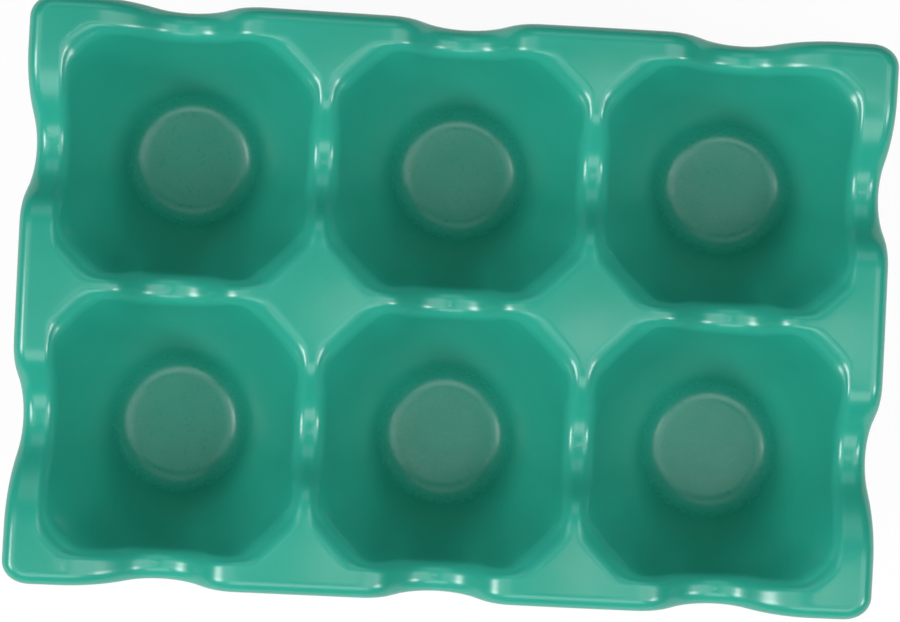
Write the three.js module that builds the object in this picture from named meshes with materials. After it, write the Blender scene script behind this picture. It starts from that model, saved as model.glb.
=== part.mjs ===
import * as THREE from "three";
import { mergeVertices } from "three/addons/utils/BufferGeometryUtils.js";

// An egg rack: one slip-cast, glazed body with six cups in two rows, on a rubber pad under each cup.
// Millimetres. +X runs along a row of three cups, +Y from front to back, +Z up from the table.

// The cups
const CUPS_LONG = 3;
const CUPS_DEEP = 2;
const PITCH_LONG = 50;
const PITCH_DEEP = 49.5;
const CUP_DEPTH = 29.7; // from the low middle of a ridge down to the cup floor
const FLOOR_RADIUS = 11.8; // to where the wall would meet the floor without the fillet
const FLOOR_FILLET = 4;
const FLOOR_THICKNESS = 5.5;
const WALL = 5.8; // measured level, through the sloping wall

// The ridges between cups, and the posts where ridges cross
const RIDGE = 5.4; // between two mouths at its low middle, before their edges are rounded
const RIDGE_NECKING = 1.7; // that each side of a ridge loses on its way up to a post
const RIDGE_EDGE = 4.5; // radius that the room on a ridge makes smaller
const POST_EDGE = 2.5;
const MOUTH_SHARPNESS = 30; // power that blends the eight sides of a mouth
const POST_RISE = 7; // of the posts above the low middle of a ridge
const HOLLOW_RADIUS = 10.5; // at the low middle of a ridge
const HOLLOW_SHIFT = 1.5; // of the low middle towards the ends of the rack, in the end cups
const POST_LEVEL_REACH = 11; // of a post's level top, along a ridge from its middle
const CORNER_LEVEL_REACH = 6;
const INNER_POST = 12.3; // half diagonals of the posts, cut off by the mouths round them
const SIDE_POST = 10.7;
const END_POST = 9.5;
const CORNER_POST = 7.8;

// The outer rim
const SIDE_RIM_AT_RIDGE = 2.6; // past the outer ridge's middle line, on the long sides
const SIDE_RIM_AT_POST = 4.3;
const END_RIM_AT_RIDGE = 3.2;
const END_RIM_AT_POST = 5.3;
const RIM_RADIUS = 2.2;
const RIM_BAND = 1.3; // upright strip below the rounded top of the rim

// The underside
const POST_THICKNESS = 6;
const WEB_DEPTH = 12.5; // clay under the low middle of an inner ridge
const WEB_FILLET = 3;
const FOOT_EDGE = 1.5;

// The pads
const PAD_RADIUS = 6;
const PAD_THICKNESS = 2;
const PAD_PROUD = 0.8; // below the foot, so the clay clears the table
const PAD_CHAMFER = 0.4;
const PAD_CLEARANCE = 0.3; // all round, in its recess

// Facets
const SIDE_FACETS = 12; // along each side of a cup's square
const EDGE_FACETS = 3; // round the top of a wall, and over the rim
const FOOT_FACETS = 2; // round the foot of a wall
const CORNER_FACETS = 4;
const PAD_FACETS = 24;
const HALVINGS = 24; // of the search for the top of a wall
const WELD = 0.001; // points nearer than this are one point

const GLAZE_GREEN = 0x248f74;
const RUBBER_GREY = 0x3a3d3c;

const UP = new THREE.Vector3(0, 0, 1);
const QUARTER_TURN = Math.PI / 2;

const halfLong = PITCH_LONG / 2;
const halfDeep = PITCH_DEEP / 2;
const footHeight = PAD_PROUD;
const floorHeight = footHeight + FLOOR_THICKNESS;
const ridgeHeight = floorHeight + CUP_DEPTH;
const postHeight = ridgeHeight + POST_RISE;

// A cup's square has four sides, numbered anticlockwise from +X. A post follows each side.
function outerSides(cup) {
  return [cup.column === CUPS_LONG - 1, cup.row === CUPS_DEEP - 1, cup.column === 0, cup.row === 0];
}

function postAfter(cup, side) {
  const outers = outerSides(cup);
  const next = (side + 1) % outers.length;
  const onEnd = side % 2 === 0 ? outers[side] : outers[next];
  const onLongSide = side % 2 === 0 ? outers[next] : outers[side];
  if (onEnd && onLongSide) return { halfDiagonal: CORNER_POST, level: CORNER_LEVEL_REACH };
  if (onEnd) return { halfDiagonal: END_POST, level: POST_LEVEL_REACH };
  return { halfDiagonal: onLongSide ? SIDE_POST : INNER_POST, level: POST_LEVEL_REACH };
}

// A mouth seen from above: a rounded octagon with four sides along the ridges and four chamfers along the
// posts. The ridge share tells how far a place on it belongs to a ridge.
function mouthAt(cup, angle, sag) {
  const pull = (turn, reach) => Math.max(0, Math.cos(angle - turn) / reach) ** MOUTH_SHARPNESS;
  const sides = outerSides(cup).map((_, side) => side);
  const ridgePulls = sides.map((side) => {
    const toRidgeLine = side % 2 === 0 ? halfLong : halfDeep;
    return pull(side * QUARTER_TURN, toRidgeLine - RIDGE / 2 + RIDGE_NECKING * (1 - sag));
  });
  const postPulls = sides.map((side) => {
    const toPost = (halfLong + halfDeep - postAfter(cup, side).halfDiagonal) / Math.SQRT2;
    return pull((side + 1 / 2) * QUARTER_TURN, toPost);
  });
  const ridgePull = ridgePulls.reduce((sum, one) => sum + one);
  const total = postPulls.reduce((sum, one) => sum + one, ridgePull);
  return { reach: total ** (-1 / MOUTH_SHARPNESS), ridgeShare: ridgePull / total };
}

function tangentLength(slope, radius) {
  return radius * Math.tan(Math.atan(slope) / 2);
}

// Height above a level face of a slope that climbs out of it through a round fillet, at a place where the
// plain slope would be at this rise.
function filletedClimb(rise, slope, radius) {
  const along = rise / slope + tangentLength(slope, radius);
  if (along <= 0) return 0;
  if (along >= radius * Math.sin(Math.atan(slope))) return rise;
  return radius - Math.sqrt(radius ** 2 - along ** 2);
}

// Drop of a ridge's top at a distance from a post's level top: over a round shoulder, then down a round
// hollow to the low middle of the ridge.
function ridgeDrop(distance, span) {
  const steepest = 2 * Math.atan(POST_RISE / span);
  const shoulderRadius = span / Math.sin(steepest) - HOLLOW_RADIUS;
  const toMiddle = Math.max(0, span - distance);
  if (distance <= 0) return 0;
  if (distance < shoulderRadius * Math.sin(steepest)) {
    return shoulderRadius - Math.sqrt(shoulderRadius ** 2 - distance ** 2);
  }
  return POST_RISE - HOLLOW_RADIUS + Math.sqrt(HOLLOW_RADIUS ** 2 - toMiddle ** 2);
}

// Sag of the wall tops between posts, 0 on a post and 1 midway, at a place seen from its cup's middle.
function ridgeSag(cup, x, y) {
  const shiftedX = x - HOLLOW_SHIFT * Math.sign(cup.x) * (1 - (x / halfLong) ** 2);
  const turn = THREE.MathUtils.euclideanModulo(Math.atan2(y, shiftedX), 2 * Math.PI);
  const { level } = postAfter(cup, Math.floor(turn / QUARTER_TURN));
  const longShare = Math.max(0, 1 - Math.abs(shiftedX) / halfLong);
  const deepShare = Math.max(0, 1 - Math.abs(y) / halfDeep);
  const share = Math.hypot(longShare, deepShare);
  const half = (halfLong + halfDeep) / 2;
  return ridgeDrop(share * half - level, half - level) / POST_RISE;
}

// A ray from a cup's middle to a place on its square, with the slope of the wall that it runs up.
function makeRay(cup, x, y, outer) {
  const angle = Math.atan2(y, x);
  const sag = ridgeSag(cup, x, y);
  const mouth = mouthAt(cup, angle, sag);
  const slope = (postHeight - POST_RISE * sag - floorHeight) / (mouth.reach - FLOOR_RADIUS);
  return { cup, x, y, outer, angle, slope, ridgeShare: mouth.ridgeShare, reach: Math.hypot(x, y) };
}

// The glazed inside of the cups, and the shell below it. Each skin is a floor, a wall that climbs from
// its foot, and a land that the wall runs out on.
const bowlSkin = {
  floor: floorHeight,
  foot: () => FLOOR_RADIUS,
  fillet: FLOOR_FILLET,
  land: postHeight,
  innerSag: POST_RISE,
  edge: (ray) => THREE.MathUtils.lerp(POST_EDGE, RIDGE_EDGE, ray.ridgeShare),
};
const shellSkin = {
  floor: footHeight,
  foot: (ray) => FLOOR_RADIUS + WALL - FLOOR_THICKNESS / ray.slope,
  fillet: FOOT_EDGE,
  land: postHeight - POST_THICKNESS,
  innerSag: POST_RISE - POST_THICKNESS + WEB_DEPTH,
  edge: () => WEB_FILLET,
};

function wallRise(skin, ray, radius) {
  return ray.slope * (radius - skin.foot(ray));
}

function landHeight(skin, ray, radius) {
  const sag = ridgeSag(ray.cup, radius * Math.cos(ray.angle), radius * Math.sin(ray.angle));
  return skin.land - (ray.outer ? POST_RISE : skin.innerSag) * sag;
}

// Radius at which the plain wall of a skin meets its land, found by halving.
function meetingRadius(skin, ray) {
  let inside = skin.foot(ray);
  let outside = ray.reach;
  for (let step = 0; step < HALVINGS; step += 1) {
    const middle = (inside + outside) / 2;
    const below = skin.floor + wallRise(skin, ray, middle) < landHeight(skin, ray, middle);
    if (below) inside = middle;
    else outside = middle;
  }
  return inside;
}

// Radii of the rings along a fillet, from the level face to the slope.
function filletRadii(meeting, slope, radius, facets) {
  const start = meeting - tangentLength(slope, radius);
  const ring = (step) => start + radius * Math.sin((Math.atan(slope) * step) / facets);
  return Array.from({ length: facets + 1 }, (_, step) => ring(step));
}

// One row of points up a skin, from the foot of its wall out to the ridge line. The round at the top of
// the wall is smaller where there is less room for it.
function skinRow(skin, ray) {
  const meeting = meetingRadius(skin, ray);
  const edge = Math.min(skin.edge(ray), (ray.reach - meeting) / tangentLength(ray.slope, 1));
  const footRings = filletRadii(skin.foot(ray), ray.slope, skin.fillet, FOOT_FACETS);
  const edgeRings = filletRadii(0, ray.slope, edge, EDGE_FACETS).map((inward) => meeting - inward);
  return [...footRings, ...edgeRings.reverse(), ray.reach].map((radius) => {
    const wall = skin.floor + filletedClimb(wallRise(skin, ray, radius), ray.slope, skin.fillet);
    const land = landHeight(skin, ray, radius);
    const onRidgeLine = radius > ray.reach - WELD && wall >= land;
    const drop = onRidgeLine ? 0 : filletedClimb(land - wall, ray.slope, edge);
    return cupPoint(ray, radius, land - drop);
  });
}

function cupPoint(ray, radius, height) {
  const x = ray.cup.x + radius * Math.cos(ray.angle);
  const y = ray.cup.y + radius * Math.sin(ray.angle);
  return new THREE.Vector3(x, y, height);
}

// One row over the inside of a cup, from its middle out to the ridge line.
function bowlRow(ray) {
  return [cupPoint(ray, 0, floorHeight), ...skinRow(bowlSkin, ray)];
}

// One row under a cup, from the ridge line in to the foot, its pad recess and the middle.
function shellRow(ray) {
  const recess = PAD_RADIUS + PAD_CLEARANCE;
  const roof = [cupPoint(ray, 0, PAD_THICKNESS), cupPoint(ray, recess, PAD_THICKNESS)];
  return [...roof, cupPoint(ray, recess, footHeight), ...skinRow(shellSkin, ray)].reverse();
}

// One row over the outer rim, from the ridge line out over the rounded top and back under.
function rimRow(ray, outward) {
  const start = bowlRow(ray).at(-1);
  const [end] = shellRow(ray);
  const endShare = outward.x ** 2;
  const atPost = THREE.MathUtils.lerp(SIDE_RIM_AT_POST, END_RIM_AT_POST, endShare);
  const atRidge = THREE.MathUtils.lerp(SIDE_RIM_AT_RIDGE, END_RIM_AT_RIDGE, endShare);
  const overhang = THREE.MathUtils.lerp(atPost, atRidge, ridgeSag(ray.cup, ray.x, ray.y));
  const place = (distance, drop) =>
    start.clone().addScaledVector(outward, distance).addScaledVector(UP, -drop);
  const rounded = Array.from({ length: EDGE_FACETS + 1 }, (_, step) => {
    const turn = (QUARTER_TURN * step) / EDGE_FACETS;
    return place(overhang - RIM_RADIUS * (1 - Math.sin(turn)), RIM_RADIUS * (1 - Math.cos(turn)));
  });
  return [start, ...rounded, place(overhang, RIM_RADIUS + RIM_BAND), end];
}

// The rim round a corner of the rack, turning from one outer side to the next.
function cornerRows(ray, outward) {
  return Array.from({ length: CORNER_FACETS + 1 }, (_, step) => {
    const turn = (QUARTER_TURN * step) / CORNER_FACETS;
    return rimRow(ray, outward.clone().applyAxisAngle(UP, turn));
  });
}

// Triangles between neighbouring rows of points, leaving out those that close to nothing.
function stitch(rows) {
  const triangles = [];
  const add = (...corners) => {
    const [a, b, c] = corners;
    if (!a.equals(b) && !b.equals(c) && !c.equals(a)) triangles.push(...corners);
  };
  rows.slice(1).forEach((row, index) => {
    const last = rows[index];
    row.slice(1).forEach((point, step) => {
      add(last[step], last[step + 1], point);
      add(last[step], point, row[step]);
    });
  });
  return triangles;
}

// Rays to one side of a cup's square, in anticlockwise order.
function sideRays(cup, side, outer) {
  return Array.from({ length: SIDE_FACETS + 1 }, (_, step) => {
    const along = (2 * step) / SIDE_FACETS - 1;
    const [x, y] = [
      [halfLong, along * halfDeep],
      [-along * halfLong, halfDeep],
      [-halfLong, -along * halfDeep],
      [along * halfLong, -halfDeep],
    ][side];
    return makeRay(cup, x, y, outer);
  });
}

function cupPlaces() {
  const columns = Array.from({ length: CUPS_LONG }, (_, column) => column);
  const rows = Array.from({ length: CUPS_DEEP }, (_, row) => row);
  return rows.flatMap((row) =>
    columns.map((column) => ({
      row,
      column,
      x: (column - (CUPS_LONG - 1) / 2) * PITCH_LONG,
      y: (row - (CUPS_DEEP - 1) / 2) * PITCH_DEEP,
    })),
  );
}

function cupTriangles(cup) {
  const outers = outerSides(cup);
  return outers.flatMap((outer, side) => {
    const rays = sideRays(cup, side, outer);
    const cupSkins = [...stitch(rays.map(bowlRow)), ...stitch(rays.map(shellRow))];
    if (!outer) return cupSkins;
    const outward = new THREE.Vector3(1, 0, 0).applyAxisAngle(UP, side * QUARTER_TURN);
    const rim = stitch(rays.map((ray) => rimRow(ray, outward)));
    const turnsCorner = outers[(side + 1) % outers.length];
    const corner = turnsCorner ? stitch(cornerRows(rays.at(-1), outward)) : [];
    return [...cupSkins, ...rim, ...corner];
  });
}

function ceramicRack() {
  const triangles = cupPlaces().flatMap(cupTriangles);
  const geometry = mergeVertices(new THREE.BufferGeometry().setFromPoints(triangles), WELD);
  geometry.computeVertexNormals();
  const glaze = new THREE.MeshStandardMaterial({ color: GLAZE_GREEN, roughness: 0.3, metalness: 0 });
  const mesh = new THREE.Mesh(geometry, glaze);
  mesh.name = "ceramic_rack";
  return mesh;
}

function footPad(cup) {
  const profile = [
    new THREE.Vector2(0, 0),
    new THREE.Vector2(PAD_RADIUS - PAD_CHAMFER, 0),
    new THREE.Vector2(PAD_RADIUS, PAD_CHAMFER),
    new THREE.Vector2(PAD_RADIUS, PAD_THICKNESS),
    new THREE.Vector2(0, PAD_THICKNESS),
  ];
  const geometry = new THREE.LatheGeometry(profile, PAD_FACETS).rotateX(QUARTER_TURN);
  const rubber = new THREE.MeshStandardMaterial({ color: RUBBER_GREY, roughness: 0.85, metalness: 0 });
  const mesh = new THREE.Mesh(geometry, rubber);
  const rowName = cup.row === 0 ? "front" : "back";
  const columnName = ["left", "middle", "right"][cup.column];
  mesh.name = `foot_pad_${rowName}_${columnName}`;
  mesh.position.set(cup.x, cup.y, 0);
  return mesh;
}

const eggRack = new THREE.Group();
eggRack.add(ceramicRack());
cupPlaces().forEach((cup) => eggRack.add(footPad(cup)));

export default eggRack;
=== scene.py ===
import bpy
import numpy as np
from mathutils import Matrix


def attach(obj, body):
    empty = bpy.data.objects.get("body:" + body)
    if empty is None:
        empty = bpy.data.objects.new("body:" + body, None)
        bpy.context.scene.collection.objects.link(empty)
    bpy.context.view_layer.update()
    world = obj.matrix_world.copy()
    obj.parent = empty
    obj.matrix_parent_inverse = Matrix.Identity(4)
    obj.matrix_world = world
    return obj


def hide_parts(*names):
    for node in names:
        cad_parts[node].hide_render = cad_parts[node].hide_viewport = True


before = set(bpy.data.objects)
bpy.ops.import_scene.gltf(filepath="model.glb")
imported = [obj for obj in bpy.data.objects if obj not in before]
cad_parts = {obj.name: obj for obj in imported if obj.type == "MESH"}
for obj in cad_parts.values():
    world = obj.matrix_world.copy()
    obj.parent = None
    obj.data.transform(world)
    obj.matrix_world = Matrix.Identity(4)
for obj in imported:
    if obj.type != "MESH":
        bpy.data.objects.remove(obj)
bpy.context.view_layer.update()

# The rack is one body of slip-cast stoneware: six cups in two rows, joined by ridges that sag between
# raised posts, with a wavy rim all round. It is dipped in a satin green glaze, and its six feet are wiped
# dry before the firing.
CUPS_LONG = 3
CUPS_DEEP = 2
HALF_LONG = 0.025
HALF_DEEP = 0.02475
CUP_DEPTH = 0.0297
FLOOR_RADIUS = 0.0118
FLOOR_FILLET = 0.0045
FLOOR_THICKNESS = 0.0055
WALL = 0.0058
WALL_FLARE = 0.28
RIDGE = 0.0047
RIDGE_NECKING = 0.0009
RIDGE_EDGE = 0.006
POST_EDGE = 0.0058
MOUTH_SHARPNESS = 30
WALL_SHARPNESS = 7
WALL_ROUNDING_POWER = 3
POST_RISE = 0.007
POST_CROWN = 0.0008
HOLLOW_RADIUS = 0.0105
POST_LEVEL_REACH = 0.0110
CORNER_LEVEL_REACH = 0.006
HOLLOW_SHIFT = 0.0015
INNER_POST = 0.0127
SIDE_POST = 0.0117
END_POST = 0.0101
CORNER_POST = 0.0081
SIDE_RIM_AT_RIDGE = 0.0026
SIDE_RIM_AT_POST = 0.0043
END_RIM_AT_RIDGE = 0.0032
END_RIM_AT_POST = 0.0053
RIM_RADIUS = 0.0025
RIM_BAND = 0.0013
RIM_UNDER_RADIUS = 0.0009
POST_THICKNESS = 0.006
WEB_DEPTH = 0.0125
WEB_FILLET = 0.003
FOOT_EDGE = 0.0015
PAD_RADIUS = 0.006
PAD_THICKNESS = 0.002
PAD_PROUD = 0.0008
PAD_CLEARANCE = 0.0003
RECESS_EDGE = 0.0003

floor_height = PAD_PROUD + FLOOR_THICKNESS
post_height = floor_height + CUP_DEPTH + POST_RISE
half_pitch = (HALF_LONG + HALF_DEEP) / 2
QUARTER_TURN = np.pi / 2

SIDE_STEPS = 38
FLOOR_RINGS = np.array([0, 0.0025, 0.005])
FOOT_RINGS = 8
WALL_RINGS = 9
EDGE_RINGS = 14
LAND_RINGS = 5
CORNER_STEPS = 14
RECESS_INNER_STEP = 0.002
RECESS_OUTER_STEP = 0.004
HALVINGS = 30
RIDGE_LINE_WIDTH = 1e-6
WELD = 2e-7
WELD_SHIFT = 0.31


def outer_sides(column, row):
    """Which sides of a cup's square lie on the outside of the rack, anticlockwise from +X."""
    return np.array([column == CUPS_LONG - 1, row == CUPS_DEEP - 1, column == 0, row == 0])


def cup_posts(outer):
    """Half diagonal and level reach of the post that follows each side of a cup's square."""
    along_x = np.array([True, False, True, False])
    following = np.roll(outer, -1)
    on_end = np.where(along_x, outer, following)
    on_long_side = np.where(along_x, following, outer)
    corner = on_end & on_long_side
    sizes = [CORNER_POST, END_POST, SIDE_POST]
    half_diagonal = np.select([corner, on_end, on_long_side], sizes, INNER_POST)
    return half_diagonal, np.where(corner, CORNER_LEVEL_REACH, POST_LEVEL_REACH)


def mouth_reach(outer, angle, sag, sharpness):
    """A mouth in plan: one over the root of the sum of powers of cosine over reach, taken over four
    sides along the ridges and four chamfers along the posts. Also the sides' share in the sum."""
    turn = np.arange(4) * QUARTER_TURN
    at_ridge = np.array([HALF_LONG, HALF_DEEP, HALF_LONG, HALF_DEEP]) - RIDGE / 2
    at_ridge = at_ridge + RIDGE_NECKING * (1 - sag[:, None])
    at_post = (HALF_LONG + HALF_DEEP - cup_posts(outer)[0]) / np.sqrt(2)
    turns = np.concatenate([turn, turn + QUARTER_TURN / 2])
    reaches = np.concatenate([at_ridge, np.broadcast_to(at_post, at_ridge.shape)], axis=1)
    pull = np.maximum(0, np.cos(angle[:, None] - turns) / reaches) ** sharpness
    total = pull.sum(axis=1)
    return total ** (-1 / sharpness), pull[:, :4].sum(axis=1) / total


def ridge_sag(outer, x, y):
    """Sag of the wall tops, 0 on a post and 1 midway: a circle over the shoulder and a circle through the
    hollow, by the distance from the post's level top. Also a long cosine, for the crown of the posts."""
    shift = HOLLOW_SHIFT * (int(outer[0]) - int(outer[2]))
    along = x - shift * (1 - (x / HALF_LONG) ** 2)
    quadrant = (np.arctan2(y, along) % (2 * np.pi) / QUARTER_TURN).astype(int) % 4
    level = cup_posts(outer)[1][quadrant]
    long_share = np.maximum(0, 1 - np.abs(along) / HALF_LONG)
    deep_share = np.maximum(0, 1 - np.abs(y) / HALF_DEEP)
    share = np.hypot(long_share, deep_share)
    span = half_pitch - level
    rise = POST_RISE - POST_CROWN
    distance = np.clip(share * half_pitch - level, 0, span)
    shoulder_radius = (span ** 2 + rise ** 2) / (2 * rise) - HOLLOW_RADIUS
    steepest = 2 * np.arctan(rise / span)
    shoulder = shoulder_radius - np.sqrt(np.maximum(0, shoulder_radius ** 2 - distance ** 2))
    hollow = rise - HOLLOW_RADIUS + np.sqrt(np.maximum(0, HOLLOW_RADIUS ** 2 - (span - distance) ** 2))
    drop = np.where(distance < shoulder_radius * np.sin(steepest), shoulder, hollow)
    return drop / rise, (1 - np.cos(np.pi * np.minimum(share, 1))) / 2


def tangent_length(slope, radius):
    """Length from a corner to where a round of this radius leaves the level face."""
    return radius * np.tan(np.arctan(slope) / 2)


def filleted_climb(rise, slope, radius):
    """Height over a level face of a slope that leaves it through a circle, for the bare slope's rise."""
    along = rise / slope + tangent_length(slope, radius)
    circle = radius - np.sqrt(np.maximum(0, radius ** 2 - along ** 2))
    past_circle = along >= radius * np.sin(np.arctan(slope))
    return np.where(along <= 0, 0, np.where(past_circle, rise, circle))


def fillet_radii(meeting, slope, radius, rings):
    """Even turns round a fillet, as radii from the level face to the slope, one row for each ray."""
    turns = np.arctan(slope)[:, None] * np.linspace(0, 1, rings + 1)
    return (meeting - tangent_length(slope, radius))[:, None] + np.reshape(radius, (-1, 1)) * np.sin(turns)


def bell(rings):
    """Half a sine over a run of rings, for a mask that fades out at both ends."""
    return np.sin(np.linspace(0, np.pi, rings + 1))


def skin(cup, rays, below):
    """The inside of a cup, or its outside below, on a grid of rays by rings: the lower of a wall and a
    land, with circles at the foot and the top. The wall climbs from a round floor, and on the inside it
    flares by a parabola. The land follows the sagging ridges."""
    centre, outer = cup
    x, y, on_outside = rays
    angle = np.arctan2(y, x)
    reach = np.hypot(x, y)
    sag, crown = ridge_sag(outer, x, y)
    mouth, ridge_share = mouth_reach(outer, angle, sag, MOUTH_SHARPNESS)
    mouth_height = post_height - (POST_RISE - POST_CROWN) * sag - POST_CROWN * crown
    slope = (mouth_height - floor_height) / (mouth - FLOOR_RADIUS)
    rounder = mouth_reach(outer, angle, sag, WALL_SHARPNESS)[0]
    rounder += (mouth - rounder).mean()
    low_slope = slope * (mouth - FLOOR_RADIUS) / (rounder - FLOOR_RADIUS)
    if below:
        floor = PAD_PROUD
        foot = FLOOR_RADIUS + WALL - FLOOR_THICKNESS / slope
        foot_fillet = FOOT_EDGE
        land_top = post_height - POST_THICKNESS
        over_web = POST_RISE - POST_THICKNESS + WEB_DEPTH
        depth = np.where(on_outside, POST_RISE, over_web)[:, None]
        land_crown = 0
        flare = 0
        top_edge = WEB_FILLET
    else:
        floor = floor_height
        foot = np.full_like(slope, FLOOR_RADIUS)
        foot_fillet = FLOOR_FILLET
        land_top = post_height
        depth = POST_RISE - POST_CROWN
        land_crown = POST_CROWN
        flare = WALL_FLARE
        top_edge = POST_EDGE + (RIDGE_EDGE - POST_EDGE) * ridge_share
    foot_slope = (1 + flare) * low_slope
    top_slope = (1 - flare) * slope

    def wall_and_land(radius):
        climb = radius - foot[:, None]
        share = np.clip(climb / (mouth - foot)[:, None], 0, 1)
        mean_slope = low_slope[:, None] + (slope - low_slope)[:, None] * share ** WALL_ROUNDING_POWER
        wall = mean_slope * climb * (1 + flare * (1 - share))
        land_x = radius * np.cos(angle)[:, None]
        land_y = radius * np.sin(angle)[:, None]
        sag, crown = ridge_sag(outer, land_x, land_y)
        return wall, land_top - depth * sag - land_crown * crown

    inside, outside = foot, reach
    for _ in range(HALVINGS):
        middle = (inside + outside) / 2
        wall, land = wall_and_land(middle[:, None])
        below_land = (floor + wall < land)[:, 0]
        inside = np.where(below_land, middle, inside)
        outside = np.where(below_land, outside, middle)
    room = (reach - inside) / tangent_length(top_slope, 1)
    edge = np.minimum(top_edge, room)

    foot_rings = fillet_radii(foot, foot_slope, np.full_like(slope, foot_fillet), FOOT_RINGS)
    from_edge = fillet_radii(np.zeros_like(slope), top_slope, edge, EDGE_RINGS)
    edge_rings = (inside[:, None] - from_edge)[:, ::-1]
    wall_share = np.linspace(0, 1, WALL_RINGS + 2)[1:-1]
    wall_rings = foot_rings[:, -1:] + (edge_rings[:, :1] - foot_rings[:, -1:]) * wall_share
    land_share = np.linspace(0, 1, LAND_RINGS + 1)[1:]
    land_rings = edge_rings[:, -1:] + (reach[:, None] - edge_rings[:, -1:]) * land_share
    radius = np.concatenate([foot_rings, wall_rings, edge_rings, land_rings], axis=1)

    wall, land = wall_and_land(radius)
    climb = floor + filleted_climb(wall, foot_slope[:, None], foot_fillet)
    height = land - filleted_climb(land - climb, top_slope[:, None], edge[:, None])
    on_ridge_line = (radius > reach[:, None] - RIDGE_LINE_WIDTH) & (climb >= land)
    height = np.where(on_ridge_line, land, height)
    points = np.stack([radius * np.cos(angle)[:, None] + centre[0],
                       radius * np.sin(angle)[:, None] + centre[1], height], axis=-1)
    above_foot = np.zeros(WALL_RINGS + EDGE_RINGS + 1 + LAND_RINGS)
    under_edge = np.zeros(FOOT_RINGS + 1 + WALL_RINGS)
    at_foot = np.concatenate([bell(FOOT_RINGS), above_foot])
    at_edge = np.concatenate([under_edge, bell(EDGE_RINGS), np.zeros(LAND_RINGS)])
    return points, np.broadcast_to(at_foot, radius.shape), np.broadcast_to(at_edge, radius.shape)


def level_rings(centre, rays, radii, heights):
    """Circles about a cup's middle at the given radii and heights, on the same rays as its skins."""
    angle = np.arctan2(rays[1], rays[0])[:, None]
    x = centre[0] + np.cos(angle) * radii
    y = centre[1] + np.sin(angle) * radii
    return np.stack([x, y, np.broadcast_to(heights, x.shape)], axis=-1)


def rim(start, end, outward, overhang):
    """The outer rim as a profile carried along the ridge line: level, a quarter circle down, an upright
    band, a small quarter circle under it, and a straight run back to the cup's outside."""
    turn = np.linspace(0, QUARTER_TURN, EDGE_RINGS + 1)
    level = np.linspace(0, 1, LAND_RINGS + 1)[:-1] * (overhang - RIM_RADIUS)[:, None]
    over = (overhang - RIM_RADIUS)[:, None] + RIM_RADIUS * np.sin(turn)
    under = (overhang - RIM_UNDER_RADIUS)[:, None] + RIM_UNDER_RADIUS * np.cos(turn)
    band_drop = RIM_RADIUS + RIM_BAND - RIM_UNDER_RADIUS
    drop = np.concatenate([np.zeros(LAND_RINGS), RIM_RADIUS * (1 - np.cos(turn)),
                           band_drop + RIM_UNDER_RADIUS * np.sin(turn)])
    distance = np.concatenate([level, over, under], axis=1)
    points = start[:, None] + distance[..., None] * outward[:, None]
    points[..., 2] -= drop
    share = np.linspace(0, 1, WALL_RINGS + 2)[1:, None]
    run_back = points[:, -1:] + (end - points[:, -1])[:, None] * share
    rounds = bell(EDGE_RINGS)
    edge = np.concatenate([np.zeros(LAND_RINGS), rounds, rounds, np.zeros(WALL_RINGS + 1)])
    points = np.concatenate([points, run_back], axis=1)
    return points, np.zeros(points.shape[:2]), np.broadcast_to(edge, points.shape[:2])


MIDDLE_SET_BACK = 0.0013
END_DRAW = 0.011
FIRED_WAVE = 0.0001
WAVE_TURNS = np.array([(41, 61), (53, -37), (47, 59)])
WAVE_STARTS = np.array([0, 1, 2])


def settled(points):
    """The casting a little out of true, as firing leaves it: the ridge between the two rows set back, by a
    parabola across the rack, the right end drawn in and the left end spread, and long sine waves growing
    with height. All of it fades out towards the feet."""
    x, y, z = np.moveaxis(points, -1, 0)
    lift = np.minimum(1, z / floor_height)
    set_back = MIDDLE_SET_BACK * np.maximum(0, 1 - (y / (2 * HALF_DEEP)) ** 2)
    draw = -END_DRAW * y * x / (CUPS_LONG * HALF_LONG)
    turns = WAVE_TURNS @ np.stack([x.ravel(), y.ravel()]) + WAVE_STARTS[:, None]
    wave = FIRED_WAVE * (z / post_height)[..., None] ** 2 * np.sin(turns).T.reshape(points.shape)
    wave[..., 1] += (set_back + draw) * lift
    return points + wave


def cup_centre(column, row):
    """Middle of a cup in plan."""
    return (2 * column - CUPS_LONG + 1) * HALF_LONG, (2 * row - CUPS_DEEP + 1) * HALF_DEEP


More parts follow.
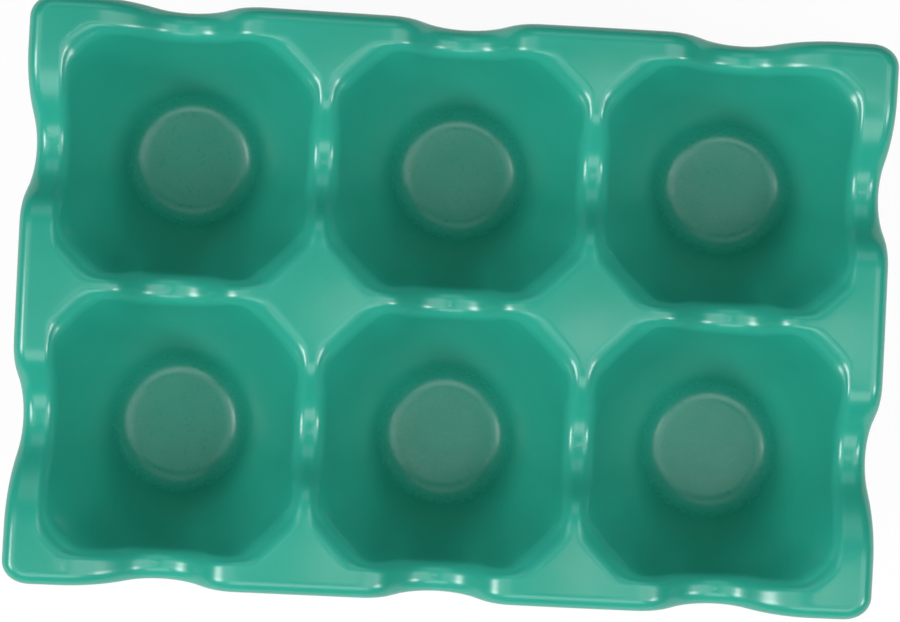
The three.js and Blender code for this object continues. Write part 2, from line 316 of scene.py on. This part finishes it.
def rack_grids():
    """Every grid of the rack with its masks: wet foot, thin edge and dry foot, one value for each point."""
    along = np.linspace(-1, 1, SIDE_STEPS, endpoint=False)
    one = np.ones(SIDE_STEPS)
    square_x = np.concatenate([one, -along, -one, along, one[:1]]) * HALF_LONG
    square_y = np.concatenate([along, one, -along, -one, -one[:1]]) * HALF_DEEP
    side = np.append(np.repeat(np.arange(4), SIDE_STEPS), 0)
    recess = PAD_RADIUS + PAD_CLEARANCE
    recess_radii = np.array([0, recess - RECESS_INNER_STEP, recess, recess, recess + RECESS_EDGE,
                             recess + RECESS_OUTER_STEP])
    recess_heights = np.array([PAD_THICKNESS, PAD_THICKNESS, PAD_THICKNESS, PAD_PROUD + RECESS_EDGE,
                               PAD_PROUD, PAD_PROUD])
    floor_heights = np.full(FLOOR_RINGS.size, floor_height)
    grids = []
    for row in range(CUPS_DEEP):
        for column in range(CUPS_LONG):
            outer = outer_sides(column, row)
            centre = cup_centre(column, row)
            rays = square_x, square_y, outer[side]
            bowl, wet, thin = skin((centre, outer), rays, below=False)
            middle = level_rings(centre, rays, FLOOR_RINGS, floor_heights)
            plain = np.zeros(middle.shape[:2])
            grids.append((np.concatenate([middle, bowl], axis=1), np.concatenate([plain, wet], axis=1),
                          np.concatenate([plain, thin], axis=1), 0))
            shell = skin((centre, outer), rays, below=True)[0]
            hollow = level_rings(centre, rays, recess_radii, recess_heights)
            under = np.concatenate([hollow, shell], axis=1)
            dry = np.zeros(under.shape[:2])
            dry[:, :recess_radii.size + FOOT_RINGS // 2 + 1] = 1
            grids.append((under[::-1], 0, 0, dry[::-1]))
            for edge in np.flatnonzero(outer):
                run = slice(edge * SIDE_STEPS, (edge + 1) * SIDE_STEPS + 1)
                sag = ridge_sag(outer, square_x[run], square_y[run])[0]
                turn = np.full(SIDE_STEPS + 1, edge * QUARTER_TURN)
                start, end = bowl[run, -1], shell[run, -1]
                if outer[(edge + 1) % 4]:
                    extra = np.linspace(0, QUARTER_TURN, CORNER_STEPS + 1)[1:] + edge * QUARTER_TURN
                    turn = np.append(turn, extra)
                    start = np.concatenate([start, np.repeat(start[-1:], CORNER_STEPS, axis=0)])
                    end = np.concatenate([end, np.repeat(end[-1:], CORNER_STEPS, axis=0)])
                    sag = np.append(sag, np.full(CORNER_STEPS, sag[-1]))
                outward = np.stack([np.cos(turn), np.sin(turn), np.zeros_like(turn)], axis=-1)
                end_share = outward[:, 0] ** 2
                at_post = SIDE_RIM_AT_POST + (END_RIM_AT_POST - SIDE_RIM_AT_POST) * end_share
                at_ridge = SIDE_RIM_AT_RIDGE + (END_RIM_AT_RIDGE - SIDE_RIM_AT_RIDGE) * end_share
                overhang = at_post + (at_ridge - at_post) * sag
                grids.append((*rim(start, end, outward, overhang), 0))
    return grids


def woven_mesh(name, grids, masks):
    """One closed mesh of all grids: points that fall together are welded, each cell is two triangles, and
    triangles that close to nothing are left out. Masks become attributes of the points."""
    points = np.concatenate([grid[0].reshape(-1, 3) for grid in grids])
    values = [np.concatenate([np.broadcast_to(grid[place], grid[0].shape[:2]).ravel() for grid in grids])
              for place in range(1, len(masks) + 1)]
    starts = np.cumsum([0] + [grid[0].size // 3 for grid in grids])
    cells = []
    for start, grid in zip(starts, grids):
        number = start + np.arange(grid[0].size // 3).reshape(grid[0].shape[:2])
        near, next_ring = number[:-1, :-1], number[:-1, 1:]
        far, next_ray = number[1:, 1:], number[1:, :-1]
        cells.append(np.stack([near, next_ring, far], axis=-1).reshape(-1, 3))
        cells.append(np.stack([near, far, next_ray], axis=-1).reshape(-1, 3))
    welded = np.round(points / WELD + WELD_SHIFT)
    _, first, same = np.unique(welded, axis=0, return_index=True, return_inverse=True)
    triangles = same.reshape(-1)[np.concatenate(cells)]
    open_ones = (triangles != np.roll(triangles, 1, axis=1)).all(axis=1)
    triangles = triangles[open_ones]
    mesh = bpy.data.meshes.new(name)
    mesh.from_pydata(points[first], [], triangles)
    mesh.polygons.foreach_set("use_smooth", np.ones(len(triangles), dtype=bool))
    for mask, value in zip(masks, values):
        mesh.attributes.new(mask, "FLOAT", "POINT").data.foreach_set("value", value[first])
    mesh.update()
    return mesh


grids = [(settled(points), *masks) for points, *masks in rack_grids()]
rack_mesh = woven_mesh("glazed_rack", grids, ("wet_foot", "thin_edge", "dry_foot"))
rack = bpy.data.objects.new("glazed_rack", rack_mesh)
bpy.context.scene.collection.objects.link(rack)

COLOUR_MIX_INPUTS = (0, 6, 7)
COLOUR_MIX_RESULT = 2


def add_node(tree, kind, inputs=None, **settings):
    """A shader node with its settings, and with values or other nodes' sockets on its inputs."""
    node = tree.nodes.new(kind)
    for name, value in settings.items():
        setattr(node, name, value)
    for name, value in (inputs or {}).items():
        if isinstance(value, bpy.types.NodeSocket):
            tree.links.new(value, node.inputs[name])
        else:
            node.inputs[name].default_value = value
    return node


def ramp(tree, value, low, high, to_low=0.0, to_high=1.0):
    """A value carried from one range to another, held at the ends."""
    inputs = {"Value": value, "From Min": low, "From Max": high, "To Min": to_low, "To Max": to_high}
    return add_node(tree, "ShaderNodeMapRange", inputs).outputs["Result"]


def blend(tree, factor, first, second):
    """One colour over another by a mask."""
    inputs = dict(zip(COLOUR_MIX_INPUTS, (factor, first, second)))
    return add_node(tree, "ShaderNodeMix", inputs, data_type="RGBA").outputs[COLOUR_MIX_RESULT]


def maths(tree, operation, first, second):
    """Two values put together by one sum, product or comparison."""
    return add_node(tree, "ShaderNodeMath", {0: first, 1: second}, operation=operation).outputs[0]


def noise(tree, place, count, detail):
    """Noise with this many lumps in a metre."""
    inputs = {"Vector": place, "Scale": count, "Detail": detail}
    return add_node(tree, "ShaderNodeTexNoise", inputs).outputs[0]


def new_material(name):
    """A material with its node tree, its shader and the place that its patterns read."""
    material = bpy.data.materials.new(name)
    material.use_nodes = True
    tree = material.node_tree
    place = add_node(tree, "ShaderNodeTexCoord").outputs["Object"]
    return material, tree, tree.nodes["Principled BSDF"], place


FINER_GRAIN = 4.0
FINER_GRAIN_SHARE = 0.35


def fine_grain_group():
    """Grain shared by bare clay, pooled glaze and moulded rubber: two noises, one a few times finer."""
    group = bpy.data.node_groups.new("fine_grain", "ShaderNodeTree")
    group.interface.new_socket("Place", in_out="INPUT", socket_type="NodeSocketVector")
    group.interface.new_socket("Grains per metre", in_out="INPUT", socket_type="NodeSocketFloat")
    group.interface.new_socket("Height", in_out="OUTPUT", socket_type="NodeSocketFloat")
    group.interface.new_socket("Mottle", in_out="OUTPUT", socket_type="NodeSocketFloat")
    start = group.nodes.new("NodeGroupInput")
    end = group.nodes.new("NodeGroupOutput")
    place, count = start.outputs["Place"], start.outputs["Grains per metre"]
    coarse = noise(group, place, count, detail=2.0)
    fine = noise(group, place, maths(group, "MULTIPLY", count, FINER_GRAIN), detail=1.0)
    height = maths(group, "ADD", coarse, maths(group, "MULTIPLY", fine, FINER_GRAIN_SHARE))
    group.links.new(height, end.inputs["Height"])
    group.links.new(coarse, end.inputs["Mottle"])
    return group


fine_grain = fine_grain_group()


def grain(tree, place, count):
    """The shared grain, placed in a material."""
    node = tree.nodes.new("ShaderNodeGroup")
    node.node_tree = fine_grain
    tree.links.new(place, node.inputs["Place"])
    node.inputs["Grains per metre"].default_value = count
    return node.outputs["Height"], node.outputs["Mottle"]


CLOUDS_PER_METRE = 38.0
CLOUD_RANGE = (0.3, 0.7)
GLAZE_DEEP = (0.0165, 0.300, 0.213, 1)
GLAZE_LIGHT = (0.0205, 0.338, 0.245, 1)
GLAZE_POOLED = (0.014, 0.24, 0.17, 1)
POOLED_SHARE = 0.25
GLAZE_THIN = (0.050, 0.42, 0.32, 1)
THIN_SHARE = 0.18
SATIN_ROUGHNESS = (0.23, 0.25)
POOLED_ROUGHNESS = 0.06
CRYSTAL_RANGE = (0.35, 0.65)
CRYSTAL_GAIN = (0.4, 1.6)
GLAZE_IOR = 1.55
FLOW_PER_METRE = 170.0
FLOW_STRENGTH = 0.10
FLOW_HEIGHT = 0.0005
CLAY_GRAINS_PER_METRE = 900.0
CLAY_DARK = (0.46, 0.36, 0.25, 1)
CLAY_PALE = (0.60, 0.50, 0.38, 1)
CLAY_EXTRA_ROUGHNESS = 0.6
WIPES_PER_METRE = 260.0
WIPED_RANGE = (0.97, 1.08)


def green_glaze():
    """Satin green glaze: deeper where it pools at the foot of a wall, paler where it runs thin on an edge,
    clouded over the width of a cup, grainy on the floors, and wiped off the feet down to buff clay."""
    material, tree, shader, place = new_material("green_glaze")

    def mask(name):
        return add_node(tree, "ShaderNodeAttribute", attribute_name=name).outputs["Fac"]

    mottle = grain(tree, place, CLAY_GRAINS_PER_METRE)[1]
    cloud = noise(tree, place, CLOUDS_PER_METRE, detail=3.0)
    body = blend(tree, ramp(tree, cloud, *CLOUD_RANGE), GLAZE_DEEP, GLAZE_LIGHT)
    body = blend(tree, ramp(tree, mask("wet_foot"), 0.0, 1.0, 0.0, POOLED_SHARE), body, GLAZE_POOLED)
    body = blend(tree, ramp(tree, mask("thin_edge"), 0.0, 1.0, 0.0, THIN_SHARE), body, GLAZE_THIN)
    ragged = noise(tree, place, WIPES_PER_METRE, detail=3.0)
    clay = ramp(tree, maths(tree, "ADD", mask("dry_foot"), ragged), *WIPED_RANGE)
    clay_tone = blend(tree, mottle, CLAY_DARK, CLAY_PALE)
    tree.links.new(blend(tree, clay, body, clay_tone), shader.inputs["Base Color"])
    satin = ramp(tree, cloud, *CLOUD_RANGE, *SATIN_ROUGHNESS)
    height = add_node(tree, "ShaderNodeSeparateXYZ", {0: place}).outputs["Z"]
    pooled = ramp(tree, height, floor_height, floor_height + FLOOR_FILLET, POOLED_ROUGHNESS, 0.0)
    crystals = ramp(tree, mottle, *CRYSTAL_RANGE, *CRYSTAL_GAIN)
    satin = maths(tree, "ADD", satin, maths(tree, "MULTIPLY", pooled, crystals))
    rough = maths(tree, "ADD", satin, maths(tree, "MULTIPLY", clay, CLAY_EXTRA_ROUGHNESS))
    tree.links.new(rough, shader.inputs["Roughness"])
    shader.inputs["IOR"].default_value = GLAZE_IOR
    flow = noise(tree, place, FLOW_PER_METRE, detail=1.0)
    bump_inputs = {"Height": flow, "Strength": FLOW_STRENGTH, "Distance": FLOW_HEIGHT}
    bump = add_node(tree, "ShaderNodeBump", bump_inputs)
    tree.links.new(bump.outputs["Normal"], shader.inputs["Normal"])
    return material


rack.data.materials.append(green_glaze())
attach(rack, "root")
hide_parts("ceramic_rack")


# The foot pads are die-cut discs of dark grey rubber, one glued into the recess under each cup, and stand
# a little proud of the clay. Their lower edge is chamfered and rounded, and the rubber has a matt skin.
PAD_CHAMFER = 0.0004
PAD_SOFT = PAD_CHAMFER / 4
PAD_STEPS = 64
RUBBER_GRAINS_PER_METRE = 2200.0
RUBBER_DARK = (0.036, 0.040, 0.039, 1)
RUBBER_LIGHT = (0.050, 0.054, 0.052, 1)
RUBBER_GRAIN_RANGE = (0.2, 0.8)
RUBBER_ROUGHNESS = (0.78, 0.92)
RUBBER_BUMP_STRENGTH = 0.35
RUBBER_BUMP_HEIGHT = 0.0001
DUST_PER_METRE = 420.0
DUST_RANGE = (0.4, 0.7)
DUST_LEVEL = 0.0003
DUST_SHARE = 0.35
TABLE_DUST = (0.16, 0.15, 0.14, 1)


def pad_grid(centre):
    """A disc turned about its axis: flat below, a chamfer with soft corners, an upright side, a flat top."""
    half = PAD_RADIUS / 2
    radii = np.array([0, half, PAD_RADIUS - PAD_CHAMFER - PAD_SOFT, PAD_RADIUS - PAD_CHAMFER + PAD_SOFT,
                      PAD_RADIUS - PAD_SOFT, PAD_RADIUS, PAD_RADIUS, PAD_RADIUS - PAD_SOFT, half, 0])
    heights = np.array([0, 0, 0, PAD_SOFT, PAD_CHAMFER - PAD_SOFT, PAD_CHAMFER + PAD_SOFT,
                        PAD_THICKNESS - PAD_SOFT, PAD_THICKNESS, PAD_THICKNESS, PAD_THICKNESS])
    angle = np.linspace(0, 2 * np.pi, PAD_STEPS + 1)
    angle[-1] = 0
    return level_rings(centre, (np.cos(angle), np.sin(angle)), radii, heights)[::-1]


def grey_rubber():
    """Dark grey rubber with a matt, finely pebbled skin, and pale table dust on the face it stands on."""
    material, tree, shader, place = new_material("grey_rubber")
    height, mottle = grain(tree, place, RUBBER_GRAINS_PER_METRE)
    dust = ramp(tree, noise(tree, place, DUST_PER_METRE, detail=4.0), *DUST_RANGE)
    depth = add_node(tree, "ShaderNodeSeparateXYZ", {0: place}).outputs["Z"]
    low = ramp(tree, depth, 0.0, DUST_LEVEL, DUST_SHARE, 0.0)
    tone = blend(tree, mottle, RUBBER_DARK, RUBBER_LIGHT)
    tone = blend(tree, maths(tree, "MULTIPLY", low, dust), tone, TABLE_DUST)
    tree.links.new(tone, shader.inputs["Base Color"])
    roughness = ramp(tree, mottle, *RUBBER_GRAIN_RANGE, *RUBBER_ROUGHNESS)
    tree.links.new(roughness, shader.inputs["Roughness"])
    bump_inputs = {"Height": height, "Strength": RUBBER_BUMP_STRENGTH, "Distance": RUBBER_BUMP_HEIGHT}
    bump = add_node(tree, "ShaderNodeBump", bump_inputs)
    tree.links.new(bump.outputs["Normal"], shader.inputs["Normal"])
    return material


rubber = grey_rubber()
for row, row_name in enumerate(("front", "back")):
    for column, column_name in enumerate(("left", "middle", "right")):
        name = f"rubber_pad_{row_name}_{column_name}"
        pad_mesh = woven_mesh(name, [(pad_grid(cup_centre(column, row)),)], ())
        pad = bpy.data.objects.new(name, pad_mesh)
        bpy.context.scene.collection.objects.link(pad)
        pad.data.materials.append(rubber)
        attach(pad, "root")
        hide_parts(f"foot_pad_{row_name}_{column_name}")


# The rack stands on a plain white table in a pale room. The table is seen as white, and keeps the soft
# shadow that the rack throws on it. It lies a hair under the pads, so that no two faces share a plane.
TABLE_HALF = 4.0
TABLE_LINES = 9
TABLE_UNDER_PADS = 0.00002
TABLE_CLOUDS_PER_METRE = 6.0
TABLE_GREY = (0.86, 0.86, 0.86, 1)
TABLE_PALE = (0.90, 0.90, 0.90, 1)
WHITE = (1, 1, 1, 1)
WHITE_SHARE = 0.94


def pale_table():
    """White paint, most of it seen at full white by the camera and in reflections."""
    material, tree, shader, place = new_material("pale_table")
    tree.nodes.remove(shader)
    cloud = noise(tree, place, TABLE_CLOUDS_PER_METRE, detail=2.0)
    paint = add_node(tree, "ShaderNodeBsdfDiffuse", {"Color": blend(tree, cloud, TABLE_GREY, TABLE_PALE)})
    white = add_node(tree, "ShaderNodeEmission", {"Color": WHITE, "Strength": 1.0})
    path = add_node(tree, "ShaderNodeLightPath").outputs
    seen = maths(tree, "MAXIMUM", path["Is Camera Ray"], path["Is Glossy Ray"])
    seen = maths(tree, "MAXIMUM", seen, path["Is Transmission Ray"])
    share = maths(tree, "MULTIPLY", seen, WHITE_SHARE)
    mix = add_node(tree, "ShaderNodeMixShader", {0: share, 1: paint.outputs[0], 2: white.outputs[0]})
    tree.links.new(mix.outputs[0], tree.nodes["Material Output"].inputs["Surface"])
    return material


table_lines = np.linspace(-TABLE_HALF, TABLE_HALF, TABLE_LINES)
table_x, table_y = np.meshgrid(table_lines, table_lines, indexing="ij")
table_grid = np.stack([table_x, table_y, np.full_like(table_x, -TABLE_UNDER_PADS)], axis=-1)
table = bpy.data.objects.new("table", woven_mesh("table", [(table_grid[::-1],)], ()))
bpy.context.scene.collection.objects.link(table)
table.data.materials.append(pale_table())


# Compact softboxes stand to the left and right, turned a little towards the front. Large panels hang over
# the left, right, front and back, with a small lamp beside the camera. The room itself is pale and dim.
ROOM_LIGHT = 0.02


def softbox(name, direction, distance, size, power):
    """A rectangular lamp at a distance from the rack, facing it."""
    lamp = bpy.data.lights.new(name, "AREA")
    lamp.shape = "RECTANGLE"
    lamp.size, lamp.size_y = size
    lamp.energy = power
    box = bpy.data.objects.new(name, lamp)
    away = np.array(direction) / np.linalg.norm(direction)
    side = np.cross((0, 0, 1), away)
    side = side / np.linalg.norm(side)
    turned = np.eye(4)
    turned[:3, :3] = np.stack([side, np.cross(away, side), away], axis=1)
    turned[:3, 3] = away * distance
    box.matrix_world = Matrix(turned.tolist())
    bpy.context.scene.collection.objects.link(box)


softbox("left_softbox", direction=(-0.72, -0.36, 0.58), distance=1.44, size=(0.352, 0.272), power=4.99)
softbox("left_panel", direction=(-0.74, -0.15, 0.67), distance=1.28, size=(0.352, 0.272), power=4.48)
softbox("right_softbox", direction=(0.72, -0.30, 0.62), distance=1.28, size=(0.352, 0.272), power=4.22)
softbox("left_top_panel", direction=(-0.50, -0.10, 0.86), distance=1.12, size=(0.64, 0.8), power=2.3)
softbox("right_top_panel", direction=(0.50, -0.10, 0.86), distance=1.12, size=(0.64, 0.8), power=3.46)
softbox("front_panel", direction=(0.0, -0.60, 0.80), distance=1.12, size=(0.96, 0.48), power=3.97)
softbox("back_panel", direction=(0.0, 0.60, 0.80), distance=1.12, size=(0.96, 0.48), power=1.28)
softbox("overhead_lamp", direction=(0.065, -0.07, 1.3), distance=1.3, size=(0.10, 0.10), power=0.36)

world = bpy.data.worlds.new("pale_room")
bpy.context.scene.world = world
world.use_nodes = True
room = world.node_tree.nodes["Background"]
room.inputs["Color"].default_value = WHITE
room.inputs["Strength"].default_value = ROOM_LIGHT


# The camera looks straight down on the rack through a long lens, turned a little about its axis.
PIXELS_WIDE = 900
PIXELS_PER_METRE = 5430.0
CAMERA_OVER_POSTS = 1.25
CAMERA_ASIDE = (-0.0001, -0.0001)
CAMERA_TURN_DEGREES = 3.0
SENSOR_WIDTH = 36.0
CAMERA_SEES_TO = 20.0
camera = bpy.data.cameras.new("camera")
camera.sensor_width = SENSOR_WIDTH
camera.lens = PIXELS_PER_METRE * CAMERA_OVER_POSTS / PIXELS_WIDE * SENSOR_WIDTH
camera.clip_end = CAMERA_SEES_TO
eye = bpy.data.objects.new("camera", camera)
eye.location = (*CAMERA_ASIDE, post_height + CAMERA_OVER_POSTS)
eye.rotation_euler = (0, 0, np.radians(CAMERA_TURN_DEGREES))
bpy.context.scene.collection.objects.link(eye)
bpy.context.scene.camera = eye
bpy.context.scene.view_settings.view_transform = "Standard"
